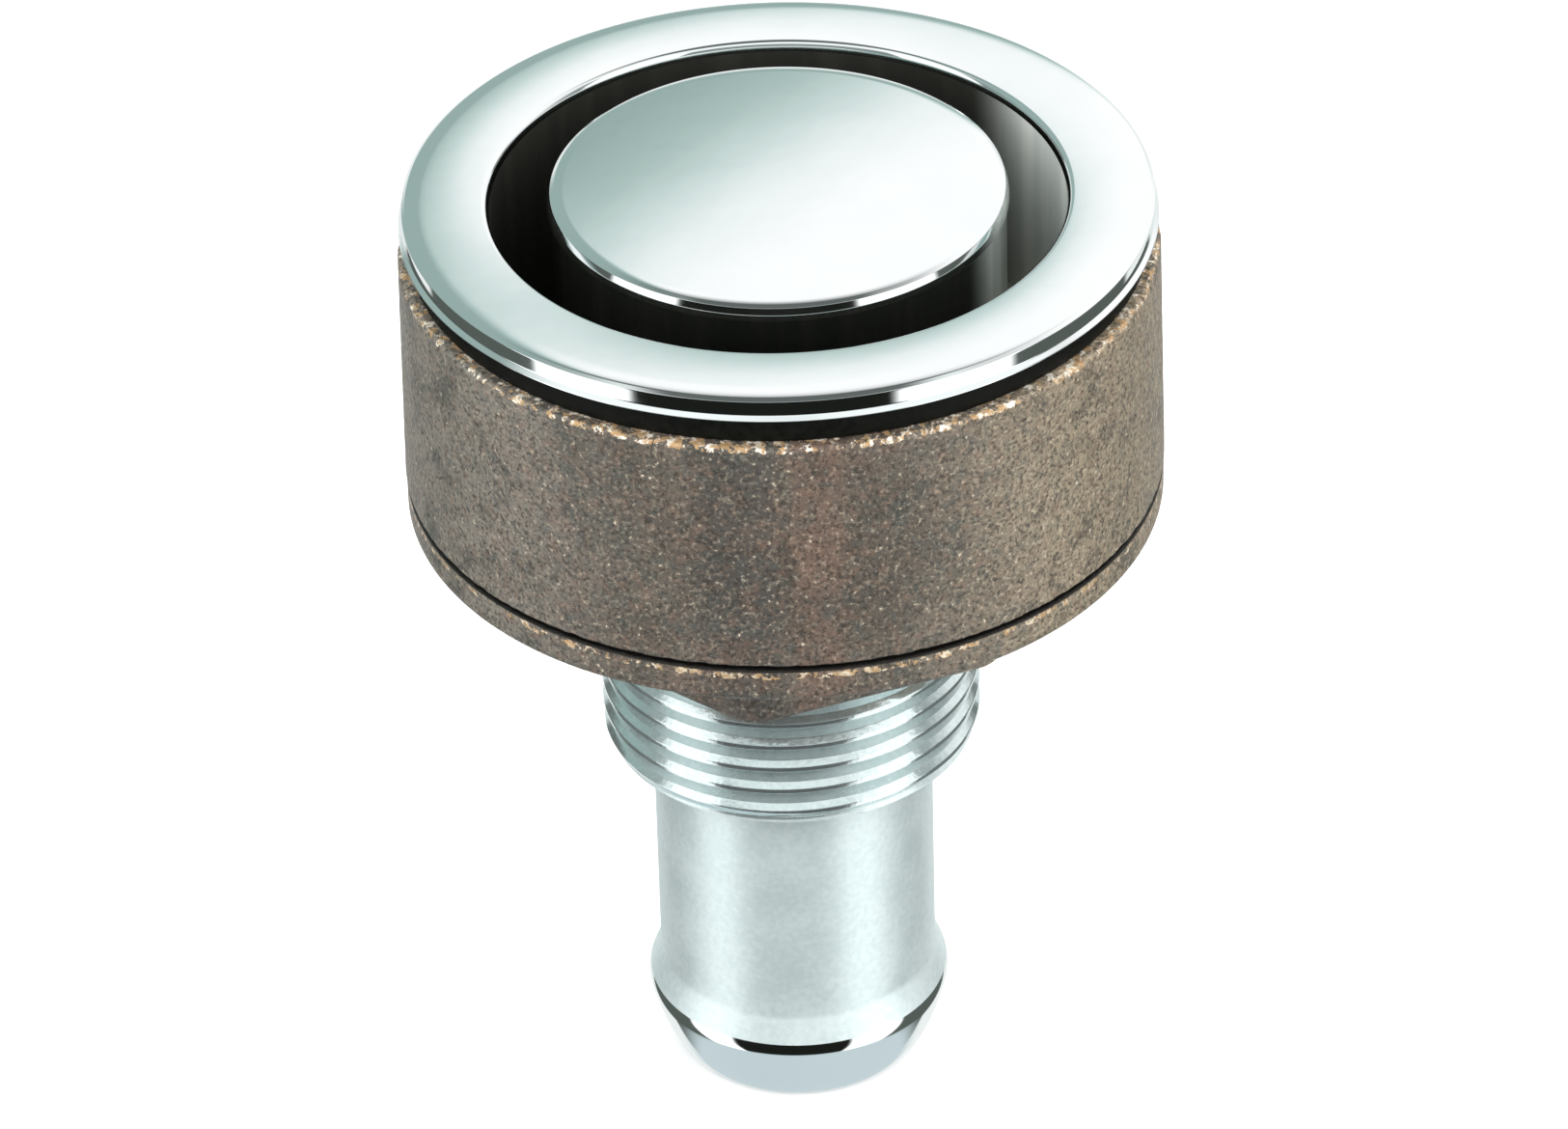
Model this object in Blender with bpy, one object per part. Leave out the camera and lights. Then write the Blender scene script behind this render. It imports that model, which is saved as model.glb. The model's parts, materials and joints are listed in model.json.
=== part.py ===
"""Flush-mounted automatic tank air vent with a G1 clamping nut and a 25 mm hose tail.

Metres, +Z up, standing on the end of its hose tail, axis on Z. Every height below is measured
from the flange's top face, which lies FLANGE_TOP above the origin, so most heights are negative.
"""

import math

import bmesh
import bpy
from mathutils import Matrix, Vector

MM = 0.001

# Frame
FLANGE_TOP = 89.0 * MM

# Running and seating gaps
GAP = 0.3 * MM
SEAT_GAP = 0.2 * MM

# Facets round a full turn
LARGE_STEPS = 36
MEDIUM_STEPS = 28
SMALL_STEPS = 16
FILLET_STEPS = 2

# Flange, bowl and hose tail
MOUTH_R = 24.55 * MM
CROWN_R = 27.6 * MM
FLANGE_R = 32.4 * MM
FLANGE_SIDE_R = 31.97 * MM
FLANGE_UNDER = -2.1 * MM
BOWL_OUTER_R = 27.0 * MM
BOWL_FLOOR = -20.5 * MM
BOWL_UNDER = -24.5 * MM
TAIL_R = 12.35 * MM
TAIL_BORE_R = 9.0 * MM
BEAD_R = 13.45 * MM
BEAD_TOP = -78.84 * MM
BEAD_CENTRE = -82.0 * MM
NOSE_R = 10.3 * MM
NOSE_BULGE = Vector((12.02, -88.0)) * MM

# G1 pipe thread, 11 to the inch, right-handed
PITCH = 25.4 * MM / 11
THREAD_R = 16.62 * MM
THREAD_DEPTH = 0.6403 * PITCH
FLANK = math.radians(27.5)
THREAD_TOP = -25.6 * MM
THREAD_END = -54.6 * MM
THREAD_END_R = 16.04 * MM
LAST_FULL_THREAD = -53.2 * MM
RELIEF_R = THREAD_R - THREAD_DEPTH - 0.1 * MM
THREAD_PHASE = -43.97 * MM + PITCH / 4
NUT_THREAD_PLAY = 0.3 * MM

# Bores for the valve
COUNTERBORE_R = 13.6 * MM
COUNTERBORE_FLOOR = -28.5 * MM
CHAMBER_R = 12.4 * MM
CHAMBER_FLOOR = -52.0 * MM

# Gasket, spacer and nut
GASKET_R = 31.6 * MM
GASKET_THICKNESS = 2.2 * MM
SPACER_INNER_R = 28.2 * MM
SPACER_TOP_R = 32.5 * MM
SPACER_BOTTOM_R = 32.85 * MM
SPACER_HEIGHT = 21.7 * MM
PLATE_R = 32.75 * MM
PLATE_THICKNESS = 3.2 * MM
NUT_HEIGHT = 13.1 * MM
HEX_ACROSS_FLATS = 40.0 * MM
HEX_TURN = math.radians(-99.0)
NUT_CORNER_R = 2.5 * MM

# Deflector cap and its bridge
CAP_R = 19.65 * MM
CAP_TOP = 1.2 * MM
CAP_CROWN = 0.45 * MM
CAP_WALL = 1.55 * MM
CAP_ROOF = 2.0 * MM
CAP_SKIRT_END = -12.0 * MM
CAP_BOSS_R = 5.0 * MM
CAP_BOSS_END = -10.6 * MM
STUD_R = 3.0 * MM
STUD_TOP = -4.4 * MM
STUD_END = -17.5 * MM
WASHER_THICKNESS = 0.8 * MM
BRIDGE_INNER_R = 14.4 * MM
BRIDGE_OUTER_R = 17.8 * MM
BRIDGE_TOP = -16.6 * MM
BRIDGE_ARM_WIDTH = 3.6 * MM
BRIDGE_ARMS = 3
BRIDGE_TURN = math.radians(45.0)
SCREW_CIRCLE_R = 16.7 * MM
SCREW_LUG_R = 2.85 * MM
SCREW_R = 1.1 * MM
SCREW_HEAD_R = 2.2 * MM
SCREW_TIP = -22.6 * MM

# Valve: seat, gauzes, float
SEAT_R = 13.3 * MM
SEAT_ORIFICE_R = 6.5 * MM
SEAT_LIP_R = 7.8 * MM
SEAT_LIP_END = -29.4 * MM
SEAT_THICKNESS = 3.0 * MM
O_RING_SECTION_R = 0.7 * MM
O_RING_R = 12.65 * MM
GAUZE_THICKNESS = 0.5 * MM
GAUZE_R = 13.2 * MM
GAUZE_SPACER_THICKNESS = 1.2 * MM
CIRCLIP_THICKNESS = 1.0 * MM
CIRCLIP_GAP = math.radians(40.0)
GUIDE_R = 12.1 * MM
GUIDE_INNER_R = 10.4 * MM
GUIDE_HEIGHT = 2.5 * MM
GUIDE_HUB_R = 2.6 * MM
PIN_R = 1.0 * MM
PIN_TOP = -39.5 * MM
FLOAT_R = 9.8 * MM
FLOAT_HEIGHT = 11.5 * MM
FLOAT_POST_R = 1.8 * MM
FLOAT_POST_TOP = -34.2 * MM
SEAL_R = 8.6 * MM
SEAL_THICKNESS = 1.5 * MM
RETAINER_R = 3.6 * MM
RETAINER_THICKNESS = 0.8 * MM

# Looks: base colour, roughness, metallic
CHROME = ((0.72, 0.76, 0.76), 0.1, 1.0)
BRONZE = ((0.32, 0.27, 0.22), 0.55, 1.0)
BRASS = ((0.72, 0.58, 0.33), 0.35, 1.0)
STEEL = ((0.6, 0.6, 0.58), 0.3, 1.0)
RUBBER = ((0.02, 0.02, 0.02), 0.7, 0.0)
PLASTIC = ((0.85, 0.84, 0.8), 0.5, 0.0)


def new_material(name, colour, roughness, metallic):
    material = bpy.data.materials.new(name)
    material.use_nodes = True
    shader = material.node_tree.nodes["Principled BSDF"]
    shader.inputs["Base Color"].default_value = (*colour, 1.0)
    shader.inputs["Roughness"].default_value = roughness
    shader.inputs["Metallic"].default_value = metallic
    material.diffuse_color = (*colour, 1.0)
    return material


def finish(bm, name, look):
    """Closes the bmesh into a smooth-shaded object, placed with its origin on the vent's axis."""
    bmesh.ops.remove_doubles(bm, verts=bm.verts, dist=1e-6)
    bmesh.ops.dissolve_degenerate(bm, edges=bm.edges, dist=1e-6)
    bmesh.ops.recalc_face_normals(bm, faces=bm.faces)
    mesh = bpy.data.meshes.new(name)
    bm.to_mesh(mesh)
    bm.free()
    mesh.shade_smooth()
    mesh.set_sharp_from_angle(angle=math.radians(35))
    obj = bpy.data.objects.new(name, mesh)
    obj.location = (0.0, 0.0, FLANGE_TOP)
    bpy.context.scene.collection.objects.link(obj)
    mesh.materials.append(new_material(name, *look))
    return obj


def as_cutter(obj):
    obj.hide_render = True
    obj.display_type = "WIRE"
    return obj


def combine(target, other, operation):
    """Adds an exact Boolean of the helper object other to target."""
    modifier = target.modifiers.new(other.name, "BOOLEAN")
    modifier.operation = operation
    modifier.solver = "EXACT"
    modifier.object = as_cutter(other)


def filleted(corners, steps=FILLET_STEPS):
    """The (r, z) points of an outline whose corners are (r, z) or (r, z, fillet radius)."""
    points = []
    for index, corner in enumerate(corners):
        here = Vector(corner[:2])
        if len(corner) < 3:
            points.append(here)
            continue
        back = (Vector(corners[index - 1][:2]) - here).normalized()
        ahead = (Vector(corners[(index + 1) % len(corners)][:2]) - here).normalized()
        half = back.angle(ahead) / 2
        radius = corner[2]
        centre = here + (back + ahead).normalized() * (radius / math.sin(half))
        first = here + back * (radius / math.tan(half)) - centre
        last = here + ahead * (radius / math.tan(half)) - centre
        sweep = first.angle_signed(last)
        for step in range(steps + 1):
            turned_by = -sweep * step / steps
            points.append(centre + Matrix.Rotation(turned_by, 2) @ first)
    return points


def turn(bm, outline, steps, ring=True, angle=2 * math.pi):
    """Turns an outline round Z. A ring's outline closes on itself, and any other stays open."""
    verts = [bm.verts.new((r, 0.0, z)) for r, z in outline]
    edges = [bm.edges.new(pair) for pair in zip(verts, verts[1:])]
    if ring:
        edges.append(bm.edges.new((verts[-1], verts[0])))
    full = angle > 2 * math.pi - 1e-6
    ends = bmesh.ops.spin(
        bm, geom=verts + edges, cent=(0, 0, 0), axis=(0, 0, 1), angle=angle, steps=steps, use_merge=full
    )
    if not full:
        bm.faces.new(verts)
        bm.faces.new([item for item in ends["geom_last"] if isinstance(item, bmesh.types.BMVert)])


def turned(name, corners, look, steps=LARGE_STEPS, ring=True, angle=2 * math.pi):
    bm = bmesh.new()
    turn(bm, filleted(corners), steps, ring, angle)
    return finish(bm, name, look)


def rod(name, radius, low, high, look=BRASS, steps=SMALL_STEPS, chamfer=0.0):
    """A round bar on the axis with chamfered ends."""
    corners = [(0, high), (radius - chamfer, high), (radius, high - chamfer)]
    corners += [(radius, low + chamfer), (radius - chamfer, low), (0, low)]
    return turned(name, corners, look, steps, ring=False)


def along(value, pairs):
    """Straight-line interpolation of (z, r) pairs listed from the top down."""
    for (z_high, r_high), (z_low, r_low) in zip(pairs, pairs[1:]):
        if value >= z_low:
            share = min(1.0, (z_high - value) / (z_high - z_low))
            return r_high + (r_low - r_high) * share
    return pairs[-1][1]


def thread_surface(bm, play, high, low, floor, ceiling):
    """A right-hand helical thread between two heights, its radius held between floor and ceiling.

    Each column of points is the thread's profile at one angle, raised to match its share of the turn.
    Points past either end gather on it, where floor and ceiling meet, so the ends are plain circles.
    """
    crest_r = THREAD_R + play
    root_r = THREAD_R - THREAD_DEPTH + play
    flank_run = THREAD_DEPTH * math.tan(FLANK)
    flat = (PITCH - 2 * flank_run) / 4
    root_start = flat + flank_run
    profile = [(-flat, crest_r), (flat, crest_r), (root_start, root_r), (root_start + 2 * flat, root_r)]
    turns = math.ceil((high - low) / PITCH) + 3
    start = THREAD_PHASE + PITCH * math.ceil((high - THREAD_PHASE) / PITCH + 1)
    columns = []
    for column in range(LARGE_STEPS + 1):
        angle = 2 * math.pi * column / LARGE_STEPS
        lift = PITCH * column / LARGE_STEPS
        points = []
        for crest in range(turns):
            for drop, radius in profile:
                z = min(high, max(low, start + lift - crest * PITCH - drop))
                r = min(along(z, ceiling), max(along(z, floor), radius))
                points.append(bm.verts.new((r * math.cos(angle), r * math.sin(angle), z)))
        columns.append(points)
    for left, right in zip(columns, columns[1:]):
        for row in range(len(left) - 1):
            bm.faces.new((left[row], left[row + 1], right[row + 1], right[row]))


def vent_body():
    """Flange, bowl, threaded shank and hose tail in one piece, bored from above for the valve."""
    groove_high = BOWL_FLOOR - 0.15 * MM
    groove_low = groove_high - CIRCLIP_THICKNESS - GAP
    groove_r = COUNTERBORE_R + 0.6 * MM
    end = Vector((NOSE_R, -FLANGE_TOP))
    shoulder = Vector((BEAD_R - 0.07 * MM, BEAD_CENTRE - 0.56 * MM))
    nose = []
    for step in range(6):
        share = step / 5
        nose.append(end.lerp(NOSE_BULGE, share).lerp(NOSE_BULGE.lerp(shoulder, share), share))
    outside = [
        (RELIEF_R, THREAD_TOP),
        (RELIEF_R, BOWL_UNDER),
        (BOWL_OUTER_R, BOWL_UNDER, 2.0 * MM),
        (BOWL_OUTER_R, FLANGE_UNDER),
        (FLANGE_R, FLANGE_UNDER),
        (FLANGE_SIDE_R, -1.6 * MM),
        (FLANGE_SIDE_R, -0.45 * MM),
        (FLANGE_SIDE_R - 0.4 * MM, -0.2 * MM),
        (30.4 * MM, -0.06 * MM),
        (CROWN_R, 0.0),
        (MOUTH_R + 0.4 * MM, -0.04 * MM),
        (MOUTH_R, -0.6 * MM),
        (MOUTH_R, BOWL_FLOOR, 2.0 * MM),
        (COUNTERBORE_R, BOWL_FLOOR),
        (COUNTERBORE_R, groove_high),
        (groove_r, groove_high),
        (groove_r, groove_low),
        (COUNTERBORE_R, groove_low),
        (COUNTERBORE_R, COUNTERBORE_FLOOR),
        (CHAMBER_R, COUNTERBORE_FLOOR),
        (CHAMBER_R, CHAMBER_FLOOR),
        (TAIL_BORE_R, CHAMBER_FLOOR),
        (TAIL_BORE_R, -FLANGE_TOP),
        *nose,
        (BEAD_R, BEAD_CENTRE),
        (BEAD_R - 0.17 * MM, BEAD_CENTRE + 0.86 * MM),
        (TAIL_R, BEAD_TOP),
        (TAIL_R, THREAD_END - 0.4 * MM, 0.3 * MM),
        (THREAD_END_R - 0.4 * MM, THREAD_END - 0.4 * MM),
        (THREAD_END_R, THREAD_END),
    ]
    bm = bmesh.new()
    turn(bm, filleted(outside), LARGE_STEPS, ring=False)
    run_in = 1.6 * MM
    ceiling = [(THREAD_TOP, RELIEF_R), (THREAD_TOP - run_in, THREAD_R)]
    ceiling += [(LAST_FULL_THREAD, THREAD_R), (THREAD_END, THREAD_END_R)]
    floor = [(THREAD_TOP, RELIEF_R), (LAST_FULL_THREAD, RELIEF_R)]
    floor += [(THREAD_END + 0.5 * MM, THREAD_END_R - 0.3 * MM), (THREAD_END, THREAD_END_R)]
    thread_surface(bm, 0.0, THREAD_TOP, THREAD_END, floor, ceiling)
    body = finish(bm, "vent_body", CHROME)
    for index in range(BRIDGE_ARMS):
        hole = rod(f"tapped_hole_{index + 1}", SCREW_R + GAP, SCREW_TIP - GAP, BOWL_FLOOR + 1 * MM)
        hole.location += Vector(arm_point(index, SCREW_CIRCLE_R))
        combine(body, hole, "DIFFERENCE")


def arm_point(index, radius):
    angle = BRIDGE_TURN + 2 * math.pi * index / BRIDGE_ARMS
    return (radius * math.cos(angle), radius * math.sin(angle), 0.0)


def flange_gasket():
    high = FLANGE_UNDER - SEAT_GAP
    low = high - GASKET_THICKNESS
    edge = 0.3 * MM
    inner = BOWL_OUTER_R + GAP
    corners = [(GASKET_R, high, edge), (GASKET_R, low, edge), (inner, low), (inner, high)]
    turned("flange_gasket", corners, RUBBER)
    return low


def clamp_spacer(high):
    """Cast ring that surrounds the bowl and bears on the inside of the panel."""
    low = high - SPACER_HEIGHT
    corners = [
        (SPACER_TOP_R, high, 0.5 * MM),
        (SPACER_BOTTOM_R, low, 0.4 * MM),
        (SPACER_INNER_R, low),
        (SPACER_INNER_R, high),
    ]
    turned("clamp_spacer", corners, BRONZE)
    return low


def hex_boss(high, low):
    """Hexagon with rounded corners, its lower rim chamfered, reaching up into the plate."""
    corner_r = HEX_ACROSS_FLATS / 2 / math.cos(math.pi / 6)
    inset = NUT_CORNER_R / math.cos(math.pi / 6)
    outline = []
    for corner in range(6):
        middle = HEX_TURN + corner * math.pi / 3
        centre = Vector((math.cos(middle), math.sin(middle))) * (corner_r - inset)
        for step in (-1.0, 0.0, 1.0):
            angle = middle + step * math.pi / 6
            outline.append(centre + Vector((math.cos(angle), math.sin(angle))) * NUT_CORNER_R)
    chamfer = 0.7 * MM
    bm = bmesh.new()
    rows = []
    for z, shrink in ((high, 0.0), (low + chamfer, 0.0), (low, chamfer)):
        scale = 1 - shrink / corner_r
        rows.append([bm.verts.new((x * scale, y * scale, z)) for x, y in outline])
    bm.faces.new(rows[0])
    for upper, lower in zip(rows, rows[1:]):
        for i in range(len(outline)):
            j = (i + 1) % len(outline)
            bm.faces.new((upper[i], upper[j], lower[j], lower[i]))
    bm.faces.new(rows[-1])
    return finish(bm, "hex_boss", BRONZE)


def flange_nut(high):
    """Cast plate with a hexagon boss, threaded to run on the shank."""
    low = high - NUT_HEIGHT
    plate_low = high - PLATE_THICKNESS
    edge = 0.5 * MM
    corners = [(0, high), (PLATE_R, high, edge), (PLATE_R, plate_low, edge), (0, plate_low)]
    nut = turned("flange_nut", corners, BRONZE, ring=False)
    combine(nut, hex_boss(high - PLATE_THICKNESS / 2, low), "UNION")
    over = 1.0 * MM
    mouth = 1.2 * MM
    crest_r = THREAD_R + NUT_THREAD_PLAY
    root_r = crest_r - THREAD_DEPTH
    floor = [(high + over, crest_r), (high, crest_r), (high - mouth, root_r)]
    floor += [(low + mouth, root_r), (low, crest_r), (low - over, crest_r)]
    ceiling = [(high + over, crest_r), (low - over, crest_r)]
    bm = bmesh.new()
    thread_surface(bm, NUT_THREAD_PLAY, high + over, low - over, floor, ceiling)
    for z in (high + over, low - over):
        level = Matrix.Translation((0, 0, z))
        quarter = Matrix.Rotation(math.pi / 2, 3, "Z")
        rim = bmesh.ops.create_circle(
            bm, cap_ends=True, segments=LARGE_STEPS, radius=crest_r, matrix=level
        )
        bmesh.ops.rotate(bm, verts=rim["verts"], cent=(0, 0, 0), matrix=quarter)
    combine(nut, finish(bm, "nut_thread", BRONZE), "DIFFERENCE")


def deflector_cap():
    """Domed disc with a deep skirt and a tapped boss."""
    roof_low = CAP_TOP - CAP_ROOF
    inner_r = CAP_R - CAP_WALL
    hole_r = STUD_R + GAP
    hole_top = STUD_TOP + GAP
    corners = [
        (0, CAP_TOP),
        (CAP_R * 0.5, CAP_TOP - CAP_CROWN * 0.25),
        (CAP_R * 0.8, CAP_TOP - CAP_CROWN * 0.64),
        (CAP_R, CAP_TOP - CAP_CROWN, 0.7 * MM),
        (CAP_R, CAP_SKIRT_END),
        (inner_r, CAP_SKIRT_END),
        (inner_r, roof_low, 1.0 * MM),
        (CAP_BOSS_R, roof_low),
        (CAP_BOSS_R, CAP_BOSS_END),
        (hole_r, CAP_BOSS_END),
        (hole_r, hole_top),
        (0, hole_top),
    ]
    turned("deflector_cap", corners, CHROME, ring=False)


def cap_fixing():
    """Stud and lock washer between the cap's boss and the bridge's hub."""
    rod("cap_stud", STUD_R, STUD_END, STUD_TOP, STEEL, chamfer=0.5 * MM)
    high = CAP_BOSS_END - GAP
    low = high - WASHER_THICKNESS
    corners = [(CAP_BOSS_R, high), (CAP_BOSS_R, low), (STUD_R + GAP, low), (STUD_R + GAP, high)]
    turned("cap_lock_washer", corners, STEEL, SMALL_STEPS)
    return low


def radial_bar(name, inner, outer, width, low, high, index):
    """A straight bar along one of the bridge's arms."""
    bm = bmesh.new()
    bmesh.ops.create_cube(bm, size=1.0)
    bmesh.ops.scale(bm, vec=(outer - inner, width, high - low), verts=bm.verts)
    bmesh.ops.translate(bm, vec=((inner + outer) / 2, 0, (low + high) / 2), verts=bm.verts)
    angle = BRIDGE_TURN + 2 * math.pi * index / BRIDGE_ARMS
    bmesh.ops.rotate(bm, verts=bm.verts, cent=(0, 0, 0), matrix=Matrix.Rotation(angle, 3, "Z"))
    return finish(bm, name, BRASS)


def cap_bridge(hub_top):
    """Three arms between a hub and a foot ring, which carry the cap over the throat."""
    low = BOWL_FLOOR + GAP
    high = BRIDGE_TOP
    corners = [(BRIDGE_OUTER_R, high), (BRIDGE_OUTER_R, low), (BRIDGE_INNER_R, low), (BRIDGE_INNER_R, high)]
    bridge = turned("cap_bridge", corners, BRASS, MEDIUM_STEPS)
    hub = rod("bridge_hub", CAP_BOSS_R, low + 0.4 * MM, hub_top, steps=SMALL_STEPS)
    combine(bridge, hub, "UNION")
    overlap = 1.0 * MM
    for index in range(BRIDGE_ARMS):
        inner = CAP_BOSS_R - overlap
        outer = BRIDGE_INNER_R + overlap
        arm_low = low + 0.8 * MM
        arm_high = high - 0.5 * MM
        name = f"bridge_arm_{index + 1}"
        arm = radial_bar(name, inner, outer, BRIDGE_ARM_WIDTH, arm_low, arm_high, index)
        combine(bridge, arm, "UNION")
        lug = rod(f"bridge_lug_{index + 1}", SCREW_LUG_R, low + 0.2 * MM, high - 0.2 * MM)
        lug.location += Vector(arm_point(index, SCREW_CIRCLE_R))
        combine(bridge, lug, "UNION")
    combine(bridge, rod("hub_bore", STUD_R + GAP, low - MM, hub_top + MM), "DIFFERENCE")
    for index in range(BRIDGE_ARMS):
        head_low = high - SCREW_HEAD_R - 2 * GAP
        corners = [
            (0, high + MM),
            (SCREW_HEAD_R + GAP, high + MM),
            (SCREW_HEAD_R + GAP, high - GAP),
            (SCREW_R + GAP, head_low),
            (SCREW_R + GAP, low - MM),
            (0, low - MM),
        ]
        hole = turned(f"countersink_{index + 1}", corners, BRASS, SMALL_STEPS, ring=False)
        hole.location += Vector(arm_point(index, SCREW_CIRCLE_R))
        combine(bridge, hole, "DIFFERENCE")


def bridge_screws():
    """Countersunk screws that hold the bridge to the bowl's floor, with a slot across each head."""
    head_high = BRIDGE_TOP - 0.2 * MM
    for index in range(BRIDGE_ARMS):
        corners = [
            (0, head_high),
            (SCREW_HEAD_R, head_high),
            (SCREW_HEAD_R, head_high - 0.3 * MM),
            (SCREW_R, head_high - 0.3 * MM - (SCREW_HEAD_R - SCREW_R)),
            (SCREW_R, SCREW_TIP + 0.3 * MM),
            (SCREW_R - 0.3 * MM, SCREW_TIP),
            (0, SCREW_TIP),
        ]
        screw = turned(f"bridge_screw_{index + 1}", corners, STEEL, SMALL_STEPS, ring=False)
        screw.location += Vector(arm_point(index, SCREW_CIRCLE_R))
        slot_half = SCREW_HEAD_R + MM
        slot_low = head_high - 0.6 * MM
        name = f"screw_slot_{index + 1}"
        slot = radial_bar(name, -slot_half, slot_half, 0.5 * MM, slot_low, head_high + MM, 0)
        slot.location = screw.location
        combine(screw, slot, "DIFFERENCE")


def gauze(name, low):
    """Flame gauze, drawn as a coarse grille: rings and spokes round open cells, in one thickness."""
    high = low + GAUZE_THICKNESS
    rings = 7
    spokes = 24
    bar = 0.55 * MM
    open_ring = (GAUZE_R - bar * (rings // 2 + 1)) / (rings // 2)
    radii = [0.0]
    for ring in range(rings):
        radii.append(radii[-1] + (open_ring if ring % 2 else bar))
    radii[-1] = GAUZE_R
    bm = bmesh.new()
    levels = []
    for z in (low, high):
        grid = []
        for r in radii:
            row = []
            for spoke in range(spokes):
                angle = 2 * math.pi * spoke / spokes
                row.append(bm.verts.new((r * math.cos(angle), r * math.sin(angle), z)))
            grid.append(row)
        levels.append(grid)

    def solid(ring, spoke):
        return 0 <= ring < rings and (ring % 2 == 0 or spoke % 4 == 0)

    def wall(first, second):
        below, above = levels
        corners = [grid[ring][spoke] for grid, (ring, spoke) in ((below, first), (below, second))]
        corners += [grid[ring][spoke] for grid, (ring, spoke) in ((above, second), (above, first))]
        bm.faces.new(corners)

    for ring in range(rings):
        for spoke in range(spokes):
            if not solid(ring, spoke):
                continue
            after = (spoke + 1) % spokes
            for grid in levels:
                inside, outside = grid[ring], grid[ring + 1]
                bm.faces.new((inside[spoke], outside[spoke], outside[after], inside[after]))
            if ring > 0 and not solid(ring - 1, spoke):
                wall((ring, spoke), (ring, after))
            if not solid(ring + 1, spoke):
                wall((ring + 1, spoke), (ring + 1, after))
            if not solid(ring, spoke - 1 if spoke else spokes - 1):
                wall((ring, spoke), (ring + 1, spoke))
            if not solid(ring, after):
                wall((ring, after), (ring + 1, after))
    for loose in [vert for vert in bm.verts if not vert.link_faces]:
        bm.verts.remove(loose)
    finish(bm, name, STEEL)
    return high + GAP


def valve_stack():
    """Seat, O-ring, two gauzes with their spacer, and the circlip, from the counterbore's floor up."""
    low = COUNTERBORE_FLOOR + GAP
    high = low + SEAT_THICKNESS
    groove_r = O_RING_R - O_RING_SECTION_R - 0.15 * MM
    middle = (low + high) / 2
    groove_half = O_RING_SECTION_R + 0.2 * MM
    corners = [
        (SEAT_R, high),
        (SEAT_R, middle + groove_half),
        (groove_r, middle + groove_half),
        (groove_r, middle - groove_half),
        (SEAT_R, middle - groove_half),
        (SEAT_R, low),
        (SEAT_LIP_R, low),
        (SEAT_LIP_R - 0.4 * MM, SEAT_LIP_END),
        (SEAT_ORIFICE_R, SEAT_LIP_END),
        (SEAT_ORIFICE_R, high),
    ]
    turned("valve_seat", corners, BRASS, MEDIUM_STEPS)
    bm = bmesh.new()
    sides = 8
    section = []
    for side in range(sides):
        angle = -2 * math.pi * side / sides
        section.append(
            (O_RING_R + O_RING_SECTION_R * math.cos(angle), middle + O_RING_SECTION_R * math.sin(angle))
        )
    turn(bm, section, MEDIUM_STEPS)
    finish(bm, "seat_o_ring", RUBBER)
    spacer_low = gauze("lower_gauze", high + GAP)
    spacer_high = spacer_low + GAUZE_SPACER_THICKNESS
    inner = GAUZE_R - 2.0 * MM
    corners = [(GAUZE_R, spacer_high), (GAUZE_R, spacer_low), (inner, spacer_low), (inner, spacer_high)]
    turned("gauze_spacer", corners, BRASS, MEDIUM_STEPS)
    clip_low = gauze("upper_gauze", spacer_high + GAP)
    clip_high = clip_low + CIRCLIP_THICKNESS
    outer = COUNTERBORE_R + 0.3 * MM
    inner = COUNTERBORE_R - 1.6 * MM
    corners = [(outer, clip_high), (outer, clip_low), (inner, clip_low), (inner, clip_high)]
    turned("retaining_ring", corners, STEEL, MEDIUM_STEPS, angle=2 * math.pi - CIRCLIP_GAP)


def float_guide():
    """Spider on the chamber's floor with the pin that the float slides on."""
    low = CHAMBER_FLOOR + GAP
    high = low + GUIDE_HEIGHT
    corners = [(GUIDE_R, high), (GUIDE_R, low), (GUIDE_INNER_R, low), (GUIDE_INNER_R, high)]
    guide = turned("float_guide", corners, BRASS, MEDIUM_STEPS)
    combine(guide, rod("guide_hub", GUIDE_HUB_R, low, high - 0.2 * MM), "UNION")
    arm_width = 1.8 * MM
    for index in range(BRIDGE_ARMS):
        inner = GUIDE_HUB_R - 0.8 * MM
        outer = GUIDE_INNER_R + 0.8 * MM
        name = f"guide_arm_{index + 1}"
        arm = radial_bar(name, inner, outer, arm_width, low + 0.4 * MM, high - 0.4 * MM, index)
        combine(guide, arm, "UNION")
    pin_play = 0.15 * MM
    combine(guide, rod("guide_bore", PIN_R + pin_play, low - MM, high + MM, steps=12), "DIFFERENCE")
    rod("guide_pin", PIN_R, low + 0.2 * MM, PIN_TOP, STEEL, steps=12, chamfer=0.25 * MM)
    return high


def float_group(guide_high):
    """Float with its seal and retainer, resting on the guide and free to lift to the seat."""
    low = guide_high + GAP
    high = low + FLOAT_HEIGHT
    hole_r = PIN_R + 0.4 * MM
    hole_top = high - 1.6 * MM
    corners = [
        (0, FLOAT_POST_TOP),
        (FLOAT_POST_R, FLOAT_POST_TOP),
        (FLOAT_POST_R, high),
        (FLOAT_R, high, 1.0 * MM),
        (FLOAT_R, low, 1.5 * MM),
        (hole_r, low),
        (hole_r, hole_top),
        (0, hole_top),
    ]
    turned("float", corners, PLASTIC, MEDIUM_STEPS, ring=False)
    bore = FLOAT_POST_R + GAP
    seal_low = high + GAP
    seal_high = seal_low + SEAL_THICKNESS
    corners = [(SEAL_R, seal_high), (SEAL_R, seal_low), (bore, seal_low), (bore, seal_high)]
    turned("float_seal", corners, RUBBER, MEDIUM_STEPS)
    retainer_low = seal_high + GAP
    retainer_high = retainer_low + RETAINER_THICKNESS
    corners = [
        (RETAINER_R, retainer_high),
        (RETAINER_R, retainer_low),
        (bore, retainer_low),
        (bore, retainer_high),
    ]
    turned("seal_retainer", corners, STEEL, SMALL_STEPS)


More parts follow.
